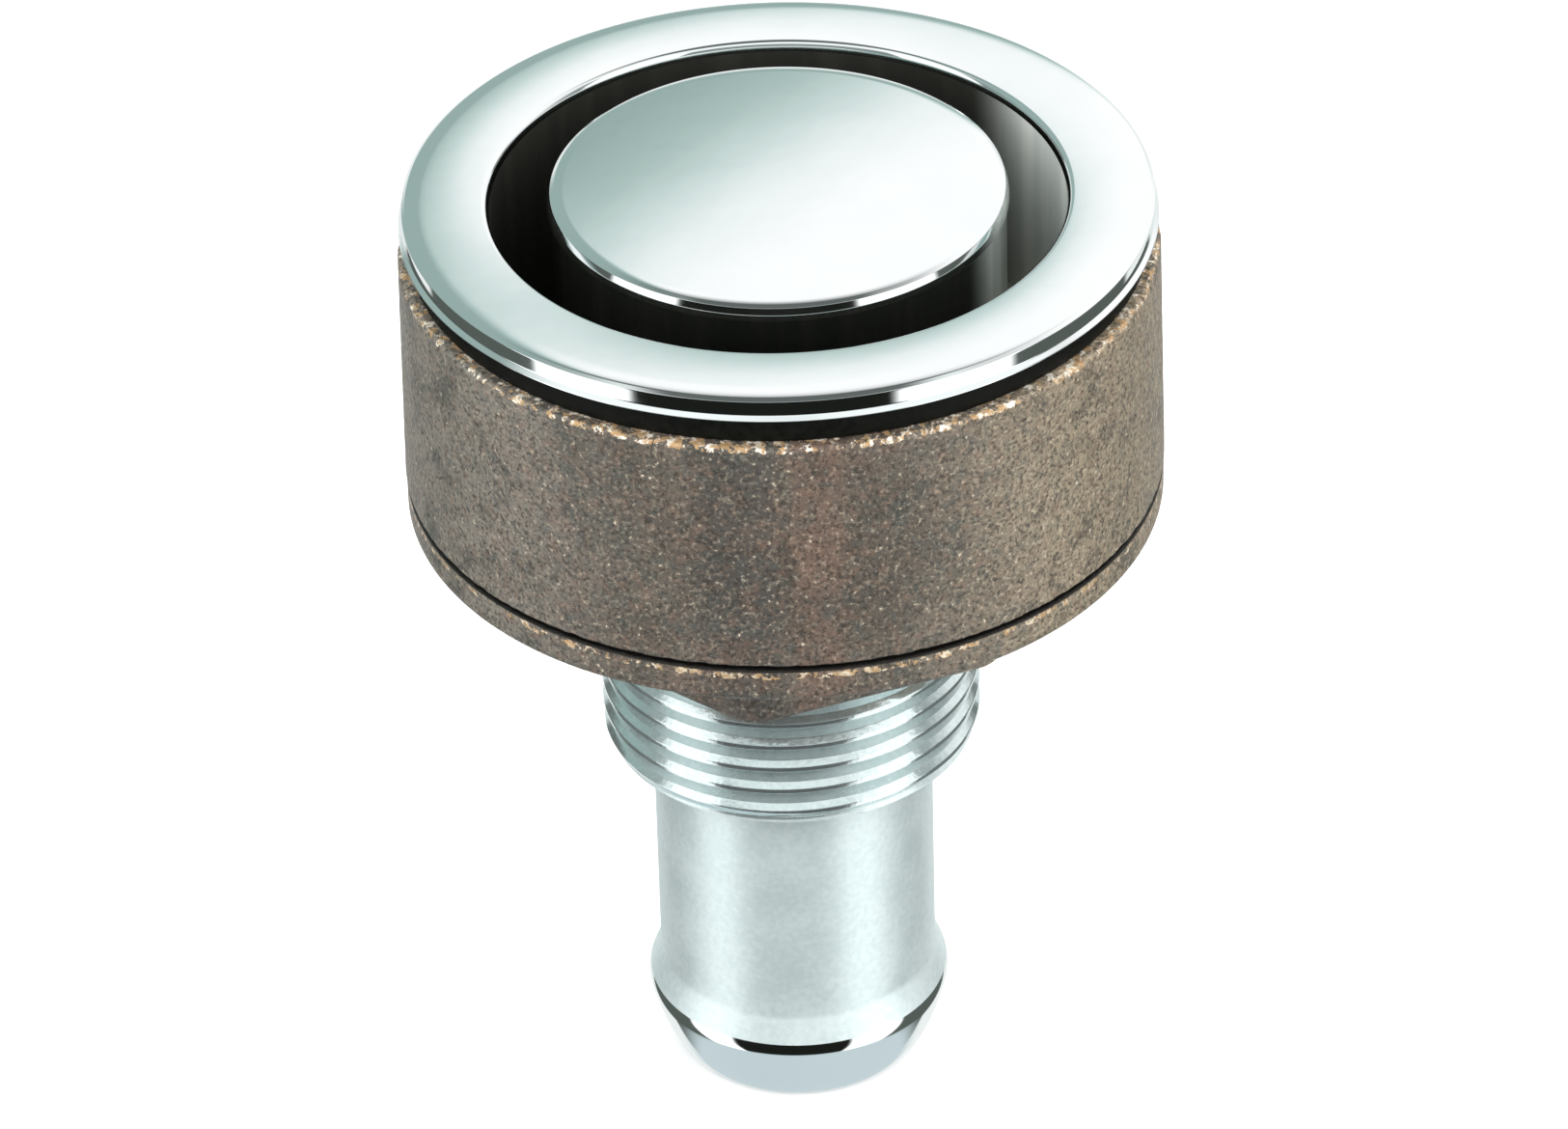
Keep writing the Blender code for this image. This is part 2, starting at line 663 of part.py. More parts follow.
def main():
    for obj in list(bpy.data.objects):
        bpy.data.objects.remove(obj, do_unlink=True)
    vent_body()
    gasket_low = flange_gasket()
    spacer_low = clamp_spacer(gasket_low - SEAT_GAP)
    flange_nut(spacer_low - GAP)
    deflector_cap()
    cap_bridge(cap_fixing() - GAP)
    bridge_screws()
    valve_stack()
    float_group(float_guide())


main()
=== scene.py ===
"""Looks of the flush tank air vent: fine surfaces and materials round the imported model."""

import json
import math

import bmesh
import bpy
import numpy as np
from mathutils import Matrix, Vector, noise


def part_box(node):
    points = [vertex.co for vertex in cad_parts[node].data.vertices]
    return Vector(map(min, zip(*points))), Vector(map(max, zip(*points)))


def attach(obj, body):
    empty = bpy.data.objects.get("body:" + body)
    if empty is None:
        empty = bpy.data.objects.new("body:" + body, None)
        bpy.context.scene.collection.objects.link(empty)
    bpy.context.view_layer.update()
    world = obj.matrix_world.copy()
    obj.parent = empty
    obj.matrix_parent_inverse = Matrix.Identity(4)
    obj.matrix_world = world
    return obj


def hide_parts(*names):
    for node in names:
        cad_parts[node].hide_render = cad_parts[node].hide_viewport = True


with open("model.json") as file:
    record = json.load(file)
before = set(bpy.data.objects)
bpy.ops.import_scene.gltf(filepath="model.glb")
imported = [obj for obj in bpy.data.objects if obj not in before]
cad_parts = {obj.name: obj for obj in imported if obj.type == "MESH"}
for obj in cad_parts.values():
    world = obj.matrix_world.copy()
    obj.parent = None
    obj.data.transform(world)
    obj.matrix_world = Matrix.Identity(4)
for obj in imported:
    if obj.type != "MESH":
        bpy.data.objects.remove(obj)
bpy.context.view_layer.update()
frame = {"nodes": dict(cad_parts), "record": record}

MM = 0.001
TAU = 2 * math.pi
DEGREES = 180 / math.pi

# Heights below are in mm from the flange's top face, radii in mm from the axis.
BODY_LOW, BODY_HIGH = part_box("vent_body")
CAP_LOW, CAP_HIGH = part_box("deflector_cap")
GASKET_LOW, GASKET_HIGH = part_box("flange_gasket")
SPACER_LOW, SPACER_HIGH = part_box("clamp_spacer")
NUT_LOW, NUT_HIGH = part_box("flange_nut")
TOP = BODY_HIGH.z / MM

FLANGE_R = BODY_HIGH.x / MM
CAP_R = CAP_HIGH.x / MM
GASKET_R = GASKET_HIGH.x / MM
SPACER_R = SPACER_HIGH.x / MM
PLATE_R = NUT_HIGH.x / MM
TAIL_END = (BODY_LOW.z - BODY_HIGH.z) / MM


def depth(z):
    """A height in metres as mm from the flange's top face."""
    return z / MM - TOP


# ---------------------------------------------------------------------------
# Turned shapes
# ---------------------------------------------------------------------------

SEGMENTS = 192           # columns in a full turn
SUPPORT = 0.06           # how far a support point lies from the end of its straight
MERGE_DISTANCE = 1e-7    # metres
SHARP_ANGLE = 40.0       # degrees


def filleted(corners, steps=7):
    """The points of an outline whose corners are (r, z) or (r, z, fillet radius).

    Each straight gets a support point close to its ends, so that smooth shading stays in the fillets.
    """
    points = []
    count = len(corners)
    for index, corner in enumerate(corners):
        here = Vector(corner[:2])
        if len(corner) < 3:
            points.append(here)
            continue
        back = (Vector(corners[index - 1][:2]) - here).normalized()
        ahead = (Vector(corners[(index + 1) % count][:2]) - here).normalized()
        half = back.angle(ahead) / 2
        reach = corner[2] / math.tan(half)
        centre = here + (back + ahead).normalized() * (corner[2] / math.sin(half))
        first = here + back * reach - centre
        sweep = first.angle_signed(here + ahead * reach - centre)
        for step in range(steps + 1):
            angle = -sweep * step / steps
            c, s = math.cos(angle), math.sin(angle)
            points.append(centre + Vector((first.x * c - first.y * s, first.x * s + first.y * c)))
    dense = [points[0]]
    for start, end in zip(points, points[1:]):
        length = (end - start).length
        if length > 4 * SUPPORT:
            dense.append(start + (end - start) * (SUPPORT / length))
            dense.append(end - (end - start) * (SUPPORT / length))
        dense.append(end)
    return [(p.x, p.y) for p in dense]


def arc(centre, radii, start, end, steps):
    """Points (r, z) on an ellipse, with angles in degrees from +r towards +z."""
    points = []
    for step in range(steps + 1):
        angle = math.radians(start + (end - start) * step / steps)
        points.append((centre[0] + radii[0] * math.cos(angle), centre[1] + radii[1] * math.sin(angle)))
    return points


class Surface:
    """Collects a mesh as rows of points round the axis, then merges and closes it."""

    def __init__(self):
        self.points = []
        self.faces = []

    def grid(self, columns, wrap):
        """columns[i][j] is the (x, y, z) of row j in column i, in mm from the flange's top face."""
        columns = np.asarray(columns, float)
        first = sum(len(block) for block in self.points)
        count, rows = columns.shape[:2]
        self.points.append(columns.reshape(-1, 3))
        index = first + np.arange(count * rows).reshape(count, rows)
        right = np.roll(index, -1, axis=0) if wrap else index[1:]
        left = index if wrap else index[:-1]
        quads = np.stack([left[:, :-1], left[:, 1:], right[:, 1:], right[:, :-1]], axis=-1)
        self.faces.append(quads.reshape(-1, 4))

    def turned(self, outline, segments=SEGMENTS, closed=False):
        """A full turn of an outline of (r, z) points."""
        outline = np.asarray(list(outline) + ([outline[0]] if closed else []), float)
        angles = TAU * np.arange(segments) / segments
        columns = np.empty((segments, len(outline), 3))
        columns[:, :, 0] = np.cos(angles)[:, None] * outline[:, 0]
        columns[:, :, 1] = np.sin(angles)[:, None] * outline[:, 0]
        columns[:, :, 2] = outline[:, 1]
        self.grid(columns, wrap=True)

    def build(self, name):
        """The object, its points merged and its faces smooth except across sharp edges."""
        points = np.concatenate(self.points)
        points[:, 2] += TOP
        mesh = bpy.data.meshes.new(name)
        mesh.from_pydata((points * MM).tolist(), [], np.concatenate(self.faces).tolist())
        bm = bmesh.new()
        bm.from_mesh(mesh)
        bmesh.ops.remove_doubles(bm, verts=bm.verts, dist=MERGE_DISTANCE)
        bmesh.ops.dissolve_degenerate(bm, edges=bm.edges, dist=MERGE_DISTANCE)
        bmesh.ops.recalc_face_normals(bm, faces=bm.faces)
        bm.to_mesh(mesh)
        bm.free()
        mesh.shade_smooth()
        mesh.set_sharp_from_angle(angle=math.radians(SHARP_ANGLE))
        obj = bpy.data.objects.new(name, mesh)
        bpy.context.scene.collection.objects.link(obj)
        return obj


# ---------------------------------------------------------------------------
# The G1 thread
# ---------------------------------------------------------------------------

PITCH = 25.4 / 11
THREAD_R = 16.62
THREAD_DEPTH = 0.6403 * PITCH
THREAD_PHASE = -43.97 + PITCH / 4    # height of one crest at angle 0
BEVEL_R = THREAD_R - 0.48            # where the crest's bevel starts
NUT_PLAY = 0.3


def thread_profile(play):
    """One pitch of the thread as (drop, r) below the middle of its crest: a narrow crest, bevelled above."""
    crest = THREAD_R + play
    root = crest - THREAD_DEPTH + 0.06
    corners = [
        (-1.305, root),
        (-1.24, root, 0.1),
        (-0.75, BEVEL_R + play, 0.06),
        (-0.2, crest, 0.1),
        (0.2, crest, 0.08),
        (0.94, root, 0.1),
        (1.004, root),
    ]
    return [(z, r) for r, z in filleted([(r, z, *f) for z, r, *f in corners], steps=2)][:-1]


def thread_columns(play, high, low, floor, ceiling):
    """Columns of a right-hand thread between two heights, its radius held between floor and ceiling.

    floor and ceiling are (z, r) pairs from the top down, and meet at both ends, where the rows past
    the end gather into a plain circle.
    """
    profile = thread_profile(play)
    drops = np.array([drop for drop, _ in profile])
    radii = np.array([r for _, r in profile])
    turns = math.ceil((high - low) / PITCH) + 3
    start = THREAD_PHASE + PITCH * math.ceil((high - THREAD_PHASE) / PITCH + 1)
    drops = (np.arange(turns)[:, None] * PITCH + drops[None, :]).ravel()
    radii = np.tile(radii, turns)
    floor = np.array(floor[::-1])
    ceiling = np.array(ceiling[::-1])
    columns = np.empty((SEGMENTS + 1, len(drops), 3))
    for column in range(SEGMENTS + 1):
        angle = TAU * column / SEGMENTS
        z = np.clip(start + PITCH * column / SEGMENTS - drops, low, high)
        r = np.maximum(np.interp(z, floor[:, 0], floor[:, 1]), radii)
        r = np.minimum(r, np.interp(z, ceiling[:, 0], ceiling[:, 1]))
        columns[column] = np.stack([r * math.cos(angle), r * math.sin(angle), z], axis=-1)
    return columns


# ---------------------------------------------------------------------------
# Body: flange, bowl, shank and tail
# ---------------------------------------------------------------------------

MOUTH_R = 24.55
BOWL_FLOOR = -20.5
BOWL_UNDER = -24.5
BOWL_OUTER_R = 27.0
FLANGE_UNDER = -2.1
COUNTERBORE_R = 13.6
COUNTERBORE_FLOOR = -28.5
CHAMBER_R = 12.4
CHAMBER_FLOOR = -52.0
TAIL_BORE_R = 9.0
THREAD_TOP = -25.6
THREAD_END = -54.6
THREAD_END_R = 16.04
RELIEF_R = THREAD_R - THREAD_DEPTH - 0.1
TAIL_R = 12.35
BEAD_R = 13.45
BEAD_TOP = -78.84
BEAD_CENTRE = -82.0
NOSE_R = 10.3
SIDE_R = 31.97           # the flange's side, inside its flared lip
CROWN_R = 29.4           # the highest ring of the flange's face
OUTER_ROLL_R = 30.2      # where the face starts to roll off to the side
OUTER_ROLL_DROP = 0.33
MOUTH_ROLL = 0.6         # width of the rolled edge at the mouth
MOUTH_ROLL_DROP = 0.85


def face_height(r):
    """Height of the flange's crowned face, which rolls off quickly at its outer edge and at the mouth."""
    inner_start = MOUTH_R + MOUTH_ROLL
    outer = min(1.0, max(0.0, (r - OUTER_ROLL_R) / (SIDE_R - OUTER_ROLL_R)))
    inner = min(1.0, max(0.0, (inner_start - r) / (inner_start - MOUTH_R)))
    crown = 0.05 * ((r - CROWN_R) / 3) ** 2
    outer_fall = OUTER_ROLL_DROP * (1 - math.sqrt(1 - outer ** 2))
    inner_fall = MOUTH_ROLL_DROP * (1 - math.sqrt(1 - inner ** 2))
    return -crown - outer_fall - inner_fall


def flange_outline():
    """From the flange's underside round its flared lip, up its side and over its face to the mouth."""
    reach = SIDE_R - OUTER_ROLL_R
    span = OUTER_ROLL_R - MOUTH_R - MOUTH_ROLL
    radii = [OUTER_ROLL_R + reach * math.sin(math.radians(angle)) for angle in range(54, 0, -6)]
    radii += [OUTER_ROLL_R - span * step / 16 for step in range(17)]
    radii += [MOUTH_R + MOUTH_ROLL * math.cos(math.radians(angle)) for angle in range(9, 91, 9)]
    face = [(r, face_height(r)) for r in radii]
    lip = [
        (FLANGE_R - 0.5, FLANGE_UNDER),
        (FLANGE_R - 0.02, FLANGE_UNDER, 0.04),
        (SIDE_R - 0.06, FLANGE_UNDER + 0.4, 0.1),
        (SIDE_R, face[0][1] - 0.22, 0.04),
        face[0],
    ]
    return filleted(lip, steps=4) + face[1:]


def nose_outline():
    """The rounded nose below the bead, from the end of the tail up to the bead's polished band."""
    end = Vector((NOSE_R, TAIL_END + 0.1))
    bulge = Vector((12.02, TAIL_END + 1.0))
    shoulder = Vector((BEAD_R - 0.07, BEAD_CENTRE - 0.56))
    points = [(NOSE_R - 0.15, TAIL_END)]
    for step in range(19):
        share = step / 18
        point = end.lerp(bulge, share).lerp(bulge.lerp(shoulder, share), share)
        points.append((point.x, point.y))
    return points


def vent_body():
    """Flange, bowl, bores, threaded shank and tail in one shell."""
    groove_high = BOWL_FLOOR - 0.15
    groove_low = groove_high - 1.3
    groove_r = COUNTERBORE_R + 0.6
    run_in = 1.6
    run_out = 1.3
    bowl = [
        (MOUTH_R, face_height(MOUTH_R) - 0.1),
        (MOUTH_R, BOWL_FLOOR, 2.0),
        (COUNTERBORE_R, BOWL_FLOOR),
        (COUNTERBORE_R, groove_high),
        (groove_r, groove_high),
        (groove_r, groove_low),
        (COUNTERBORE_R, groove_low),
        (COUNTERBORE_R, COUNTERBORE_FLOOR),
        (CHAMBER_R, COUNTERBORE_FLOOR),
        (CHAMBER_R, CHAMBER_FLOOR),
        (TAIL_BORE_R, CHAMBER_FLOOR),
        (TAIL_BORE_R, TAIL_END, 0.3),
        (NOSE_R - 0.15, TAIL_END),
    ]
    shoulder = THREAD_END - 0.45
    tail = [
        (BEAD_R - 0.17, BEAD_CENTRE + 0.86),
        (TAIL_R, BEAD_TOP, 1.6),
        (TAIL_R, shoulder, 0.5),
        (THREAD_END_R - 0.6, shoulder, 0.15),
        (THREAD_END_R, THREAD_END),
    ]
    outline = [(RELIEF_R, THREAD_TOP)]
    outline += filleted([
        (RELIEF_R, BOWL_UNDER),
        (BOWL_OUTER_R, BOWL_UNDER, 2.0),
        (BOWL_OUTER_R, FLANGE_UNDER),
    ])
    outline += flange_outline()
    outline += filleted(bowl)[:-1]
    outline += nose_outline()
    outline += arc((BEAD_R - 2.3, BEAD_CENTRE), (2.3, 2.3), -14, 22, 12)[1:]
    outline += filleted(tail)[1:]
    surface = Surface()
    surface.turned(outline)
    ceiling = [
        (THREAD_TOP, RELIEF_R),
        (THREAD_TOP - run_in, THREAD_R),
        (THREAD_END + run_out, THREAD_R),
        (THREAD_END, THREAD_END_R),
    ]
    floor = [
        (THREAD_TOP, RELIEF_R),
        (THREAD_END + run_out, RELIEF_R),
        (THREAD_END + 0.45, THREAD_END_R - 0.1),
        (THREAD_END, THREAD_END_R),
    ]
    surface.grid(thread_columns(0.0, THREAD_TOP, THREAD_END, floor, ceiling), wrap=False)
    body = surface.build("body_shell")
    finish_zones(body)
    return body


def finish_zones(body):
    """Polished flange, crests and nose, satin tail and thread valleys, dull bowl and bores."""
    for made in (
        chrome("polished_chrome"),
        satin_chrome("satin_chrome", 0.41, 0.55),
        dull_plate("bowl_plate"),
        satin_chrome("crest_chrome", 0.13, 0.9),
        satin_chrome("valley_chrome", 0.28, 0.8),
    ):
        body.data.materials.append(made)
    satin, dull, crest, valley = range(1, 5)
    satin_low = BEAD_CENTRE + 0.75
    for face in body.data.polygons:
        centre = face.center / MM
        r = math.hypot(centre.x, centre.y)
        z = centre.z - TOP
        inward = face.normal.x * centre.x + face.normal.y * centre.y < -0.2 * r
        hidden = inward or abs(z - BOWL_FLOOR) < 2.2 or r < NOSE_R - 0.4
        if r < MOUTH_R + 0.05 and z < -0.75 and hidden:
            face.material_index = dull
        elif satin_low < z < THREAD_END + 0.2:
            face.material_index = satin
        elif satin_low < z < THREAD_TOP:
            face.material_index = crest if r > BEVEL_R - 0.03 else valley


def cap():
    """The domed deflector with its deep skirt and boss."""
    low = depth(CAP_LOW.z)
    high = depth(CAP_HIGH.z)
    crown = 0.45
    wall = 1.55
    roof_under = high - 2.0
    boss_r, boss_end = 5.0, -10.6
    stud_r, stud_top = 3.3, -4.1
    start = CAP_R - 0.66
    edge = high - crown * (start / CAP_R) ** 2
    dome = [(start * step / 24, high - crown * (step / 24 * start / CAP_R) ** 2) for step in range(25)]
    rim = [
        dome[-1],
        (CAP_R - 0.32, edge - 0.2, 0.04),
        (CAP_R - 0.1, edge - 0.75, 0.5),
        (CAP_R, edge - 1.35, 0.06),
        (CAP_R - 0.25, edge - 1.45, 0.06),
    ]
    inside = [
        (CAP_R - 0.25, low, 0.2),
        (CAP_R - wall, low, 0.2),
        (CAP_R - wall, roof_under, 1.0),
        (boss_r, roof_under),
        (boss_r, boss_end),
        (stud_r, boss_end),
        (stud_r, stud_top),
        (0.0, stud_top),
    ]
    surface = Surface()
    surface.turned(dome[:-1] + filleted(rim + inside, steps=5))
    obj = surface.build("cap_shell")
    obj.data.materials.append(chrome("cap_chrome"))
    return obj


def gasket():
    """The rubber ring, filling the space between flange and spacer with a slightly bulged edge."""
    clear = 0.02
    high = FLANGE_UNDER - clear
    low = depth(SPACER_HIGH.z) + clear
    bore_r = BOWL_OUTER_R + 0.35
    bulge = arc((GASKET_R - 0.25, (high + low) / 2), (0.25, (high - low) / 2 - 0.15), 80, -80, 10)
    corners = [(bore_r, low), (bore_r, high), (GASKET_R - 0.4, high)]
    surface = Surface()
    surface.turned(filleted(corners) + bulge + [(GASKET_R - 0.4, low)], closed=True)
    obj = surface.build("gasket_ring")
    obj.data.materials.append(rubber("black_rubber"))
    return obj


# ---------------------------------------------------------------------------
# Rough castings
# ---------------------------------------------------------------------------

# Edge colours of the castings: partly worn metal and partly a painted highlight where the edges catch the
# light.
BARE_BRONZE_AND_GLINT = (0.95, 0.90, 0.78)
WORN_BRONZE_AND_HIGHLIGHT = (0.80, 0.70, 0.54)


def roughen(obj, amount, wear, edges):
    """Pushes a casting's skin inwards by a grain, and knocks chips from its worn edges.

    edges are (z, reach) pairs: the chips are deepest at height z and gone reach mm from it.
    """
    for vert in obj.data.vertices:
        spot = vert.co / MM
        z = spot.z - TOP
        lumps = noise.noise(spot * 0.55) + 0.6 * noise.noise(spot * 1.7) + 0.35 * noise.noise(spot * 4.1)
        push = amount * (0.5 + 0.35 * lumps)
        for edge_z, reach in edges:
            near = max(0.0, 1 - abs(z - edge_z) / reach)
            chip = max(0.0, noise.noise(spot * 1.15 + Vector((3.1, 7.7, edge_z))) + 0.15)
            push += wear * near * chip
        outward = Vector((spot.x, spot.y, 0)).normalized()
        vert.co -= outward * max(0.0, push) * MM


SPACER_BORE_R = 28.2
SKIN_ROWS = 70
SKIN_SEGMENTS = 480


def spacer():
    """The cast ring, its outer wall cut into rows fine enough for the cast skin."""
    low = depth(SPACER_LOW.z)
    high = depth(SPACER_HIGH.z)
    corners = [
        (SPACER_BORE_R, low),
        (SPACER_BORE_R, high, 0.3),
        (SPACER_R - 0.35, high, 0.45),
        (SPACER_R, low, 0.38),
        (SPACER_BORE_R, low),
    ]
    outline = filleted(corners, steps=8)
    outside = [i for i in range(len(outline) - 1) if outline[i][0] > 30]
    wall = max(outside, key=lambda i: math.dist(outline[i], outline[i + 1]))
    top, bottom = (np.array(point) for point in outline[wall:wall + 2])
    rows = [tuple(top + (bottom - top) * step / SKIN_ROWS) for step in range(1, SKIN_ROWS)]
    outline = outline[:wall + 1] + rows + outline[wall + 1:-1]
    surface = Surface()
    surface.turned(outline, segments=SKIN_SEGMENTS, closed=True)
    obj = surface.build("spacer_casting")
    roughen(obj, 0.06, 0.32, [(high, 0.9), (low, 0.4)])
    # The spacer's top edge is worn and painted with glints, and its bottom edge carries painted shade for
    # the gap above the nut.
    obj.data.materials.append(bronze("spacer_bronze", [(high, 0.85)], (low, 0.32), BARE_BRONZE_AND_GLINT))
    return obj


PLATE_THICKNESS = 3.2
HEX_ACROSS_FLATS = 40.0
HEX_TURN = -99.0         # degrees, one of the corners
HEX_CORNER_R = 3.0


def hex_radius(angle):
    """Radius of the round-cornered hexagon in one direction."""
    apothem = HEX_ACROSS_FLATS / 2
    half = math.pi / 6
    offset = (angle - math.radians(HEX_TURN) + half) % (2 * half) - half
    corner_distance = (apothem - HEX_CORNER_R) / math.cos(half)
    touch = math.atan2(corner_distance * math.sin(half), apothem)
    if abs(offset) > half - touch:
        return apothem / math.cos(half - abs(offset))
    lean = corner_distance * math.cos(offset)
    across = corner_distance * math.sin(abs(offset))
    return lean + math.sqrt(max(0.0, HEX_CORNER_R ** 2 - across ** 2))


def nut():
    """Plate and hexagon cast as one, with rounded edges and a threaded bore."""
    high = depth(NUT_HIGH.z)
    low = depth(NUT_LOW.z)
    plate_low = high - PLATE_THICKNESS
    bore_r = THREAD_R + NUT_PLAY
    fillet = 1.6
    rows = []
    outline = filleted([(bore_r, high), (PLATE_R, high, 0.28), (PLATE_R, plate_low, 0.7), (23.0, plate_low)])
    angles = TAU * np.arange(SEGMENTS) / SEGMENTS
    for angle in angles:
        flat = hex_radius(angle)
        foot = arc((flat + fillet, plate_low - fillet), (fillet, fillet), 90, 180, 6)
        rim = arc((flat - 1.0, low + 0.8), (1.0, 0.8), 0, -90, 6)
        middle = [(flat, foot[-1][1] + (rim[0][1] - foot[-1][1]) * i / 8) for i in range(1, 8)]
        rows.append(outline[:-2] + foot + middle + rim + [(bore_r, low)])
    columns = np.empty((SEGMENTS, len(rows[0]), 3))
    for i, angle in enumerate(angles):
        r, z = np.array(rows[i]).T
        columns[i] = np.stack([r * math.cos(angle), r * math.sin(angle), z], axis=-1)
    surface = Surface()
    surface.grid(columns, wrap=True)
    mouth = 1.2
    root = bore_r - THREAD_DEPTH
    floor = [(high, bore_r), (high - mouth, root), (low + mouth, root), (low, bore_r)]
    ceiling = [(high, bore_r), (low, bore_r)]
    surface.grid(thread_columns(NUT_PLAY, high, low, floor, ceiling), wrap=False)
    obj = surface.build("nut_casting")
    # The band below the plate's top edge is wear and a painted highlight line, and the top edge carries
    # painted shade for the gap under the spacer.
    obj.data.materials.append(bronze("nut_bronze", [(high - 0.55, 0.6)], (high, 0.26), WORN_BRONZE_AND_HIGHLIGHT))
    return obj


# ---------------------------------------------------------------------------
# Materials
# ---------------------------------------------------------------------------

def add(tree, kind, inputs=None, **settings):
    """A node with its settings, its inputs given as values or as sockets to link."""
    item = tree.nodes.new(kind)
    for key, value in settings.items():
        setattr(item, key, value)
    for key, value in (inputs or {}).items():
        if isinstance(value, bpy.types.NodeSocket):
            tree.links.new(value, item.inputs[key])
        else:
            item.inputs[key].default_value = value
    return item


def material(name):
    """A new material, its node tree and its Principled shader."""
    made = bpy.data.materials.new(name)
    made.use_nodes = True
    return made, made.node_tree, made.node_tree.nodes["Principled BSDF"]


def coordinates(tree):
    """The object's own coordinates, in metres."""
    return add(tree, "ShaderNodeTexCoord").outputs["Object"]


def grain(tree, scale, detail=2.0, roughness=0.5, stretch=(1, 1, 1)):
    """Noise over the object's own coordinates, its scale in features per metre."""
    moved = add(tree, "ShaderNodeMapping", {"Vector": coordinates(tree), "Scale": stretch}).outputs["Vector"]
    inputs = {"Vector": moved, "Scale": scale, "Detail": detail, "Roughness": roughness}
    return add(tree, "ShaderNodeTexNoise", inputs).outputs["Fac"]


def levels(tree, value, low, high, to_low=0.0, to_high=1.0, kind="SMOOTHSTEP"):
    """A value taken from one range to another, and held at its ends."""
    inputs = {"Value": value, "From Min": low, "From Max": high, "To Min": to_low, "To Max": to_high}
    return add(tree, "ShaderNodeMapRange", inputs, interpolation_type=kind).outputs["Result"]


def maths(tree, operation, first, second=0.0):
    """One arithmetic node."""
    return add(tree, "ShaderNodeMath", {0: first, 1: second}, operation=operation).outputs[0]


def mixed(tree, factor, first, second):
    """A colour mix. The colours are linear (r, g, b) or sockets."""
    item = add(tree, "ShaderNodeMix", {"Factor": factor}, data_type="RGBA")
    for key, value in ((6, first), (7, second)):
        if isinstance(value, bpy.types.NodeSocket):
            tree.links.new(value, item.inputs[key])
        else:
            item.inputs[key].default_value = (*value, 1.0)
    return item.outputs[2]


def chrome(name):
    """Chrome plate: a cool mirror with faint polishing marks and a trace of ripple."""
    made, tree, shader = material(name)
    haze = grain(tree, 90.0, 3.0)
    fine = grain(tree, 900.0, 4.0)
    colour = mixed(tree, levels(tree, haze, 0.3, 0.7), (0.86, 0.90, 0.90), (0.89, 0.925, 0.925))
    tree.links.new(colour, shader.inputs["Base Color"])
    tree.links.new(levels(tree, fine, 0.35, 0.7, 0.05, 0.075), shader.inputs["Roughness"])
    shader.inputs["Metallic"].default_value = 1.0
    ripple = grain(tree, 160.0, 2.0)
    bump = add(tree, "ShaderNodeBump", {"Height": ripple, "Strength": 0.04, "Distance": 0.0002})
    tree.links.new(bump.outputs["Normal"], shader.inputs["Normal"])
    return made


def satin_chrome(name, rough, metallic):
    """Chrome over an unpolished surface: softer, with fine grain and cloudy patches."""
    made, tree, shader = material(name)
    haze = grain(tree, 160.0, 4.0, 0.65)
    fine = grain(tree, 1800.0, 3.0)
    both = maths(tree, "ADD", maths(tree, "MULTIPLY", haze, 0.5), maths(tree, "MULTIPLY", fine, 0.5))
    colour = mixed(tree, levels(tree, both, 0.36, 0.64), (0.63, 0.73, 0.73), (0.73, 0.82, 0.82))
    tree.links.new(colour, shader.inputs["Base Color"])
    tree.links.new(levels(tree, haze, 0.3, 0.7, rough - 0.03, rough + 0.05), shader.inputs["Roughness"])
    shader.inputs["Metallic"].default_value = metallic
    bump = add(tree, "ShaderNodeBump", {"Height": fine, "Strength": 0.25, "Distance": 0.00005})
    tree.links.new(bump.outputs["Normal"], shader.inputs["Normal"])
    return made


def bearing(tree, centre):
    """How far round the axis a point lies from a bearing, in degrees.

    A bearing of 0 faces the front, and positive is to the right.
    """
    turn = (0, 0, -math.radians(centre))
    turned = add(tree, "ShaderNodeMapping", {"Vector": coordinates(tree), "Rotation": turn}).outputs[0]
    axes = add(tree, "ShaderNodeSeparateXYZ", {"Vector": turned}).outputs
    forward = maths(tree, "MULTIPLY", axes["Y"], -1.0)
    angle = maths(tree, "ARCTAN2", axes["X"], forward)
    return maths(tree, "ABSOLUTE", maths(tree, "MULTIPLY", angle, DEGREES))


def dull_plate(name):
    """Thin plating inside the bowl and bores: dark, rough, and lighter in a patch at the right, partly
    plating worn through and partly a painted reflection.
    """
    made, tree, shader = material(name)
    streak = grain(tree, 320.0, 3.0, 0.6, stretch=(1.0, 1.0, 0.05))
    fine = grain(tree, 1500.0, 3.0)
    colour = mixed(tree, levels(tree, streak, 0.4, 0.7), (0.030, 0.031, 0.026), (0.040, 0.040, 0.034))
    # The patch at the right is partly worn plating and partly a painted reflection of the light.
    patch = levels(tree, bearing(tree, 103.0), 12.0, 34.0, 1.0, 0.0)
    bare_and_reflection = mixed(tree, levels(tree, streak, 0.4, 0.7), (0.80, 0.84, 0.80), (0.96, 0.98, 0.93))
    tree.links.new(mixed(tree, patch, colour, bare_and_reflection), shader.inputs["Base Color"])
    tree.links.new(levels(tree, fine, 0.3, 0.7, 0.4, 0.5), shader.inputs["Roughness"])
    shader.inputs["Metallic"].default_value = 0.4
    shader.inputs["Specular IOR Level"].default_value = 0.15
    bump = add(tree, "ShaderNodeBump", {"Height": streak, "Strength": 0.15, "Distance": 0.0001})
    tree.links.new(bump.outputs["Normal"], shader.inputs["Normal"])
    return made


